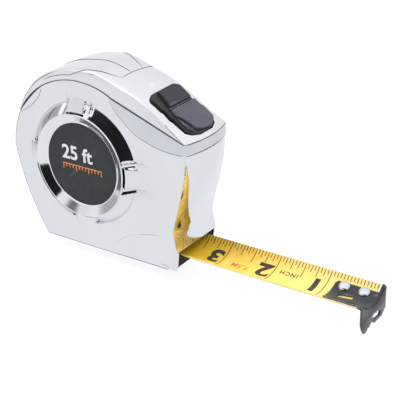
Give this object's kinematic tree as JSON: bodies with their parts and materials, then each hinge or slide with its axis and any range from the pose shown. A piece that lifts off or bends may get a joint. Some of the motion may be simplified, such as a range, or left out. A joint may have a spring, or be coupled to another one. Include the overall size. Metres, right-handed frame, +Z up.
{
  "type": "tape measure",
  "caption": "Hand-held pocket tape measure with a chromed case, curved yellow blade pulled out a little, slotted end hook and a rocker lock on top.",
  "frame": {"origin": "middle of the case's flat base, straight under the reel axle and halfway across the case's width", "axes": "+X along the blade towards the hook, +Z up from the base, Y along the reel axle with the belt clip on +Y"},
  "size_m": [0.1812, 0.0435, 0.0932],
  "materials": {
    "chrome_plastic": "bright chrome plating",
    "black_plastic": "fine grain",
    "grey_plastic": "satin moulded",
    "label_film": "satin printed film",
    "bumper_rubber": "matt",
    "blade_paint": "lacquered",
    "hook_steel": "satin black",
    "bright_steel": "plated",
    "spring_steel": "blued"
  },
  "bodies": {
    "case": {"case_frame": "chrome_plastic", "top_cover": "chrome_plastic", "left_cover": "chrome_plastic", "right_cover": "chrome_plastic", "bezel_left": "chrome_plastic", "bezel_right": "chrome_plastic", "label_left": "label_film", "label_right": "label_film", "base_plate": "black_plastic", "hook_bumper": "bumper_rubber", "mouth_guide": "black_plastic", "case_screws": "bright_steel", "arbor": "bright_steel", "toggle_pin": "bright_steel", "detent_spring": "spring_steel", "belt_clip": "bright_steel", "clip_screw": "bright_steel"},
    "reel": {"reel_drum": "black_plastic", "reel_flange_left": "black_plastic", "reel_flange_right": "black_plastic", "blade_coil": "blade_paint", "power_spring": "spring_steel"},
    "blade": {"blade": "blade_paint", "hook_rivets": "bright_steel"},
    "hook": {"hook": "hook_steel"},
    "toggle": {"toggle": "grey_plastic"},
    "brake": {"brake_arm": "black_plastic", "brake_shoe": "bumper_rubber"}
  },
  "joints": [
    {"name": "reel_spin", "type": "hinge", "parent": "case", "child": "reel", "pos_m": [0, 0, 0.0422], "axis": [0, -1, 0], "range_deg": [-156.6, 0]},
    {"name": "blade_slide", "type": "slide", "parent": "case", "child": "blade", "axis": [1, 0, 0], "range_m": [-0.0875, 0], "deforming": ["blade"]},
    {"name": "hook_play", "type": "slide", "parent": "blade", "child": "hook", "axis": [1, 0, 0], "range_m": [-0.0008, 0.0008]},
    {"name": "toggle_rock", "type": "hinge", "parent": "case", "child": "toggle", "pos_m": [0.043, 0, 0.068], "axis": [0, -1, 0], "range_deg": [0, 6]},
    {"name": "brake_lift", "type": "slide", "parent": "case", "child": "brake", "axis": [0, 0, 1], "range_m": [0, 0.00079]}
  ],
  "couplings": [
    {"joint": "blade_slide", "follows": "reel_spin", "m_per_rad": 0.032},
    {"joint": "brake_lift", "follows": "toggle_rock", "m_per_rad": 0.0075}
  ]
}
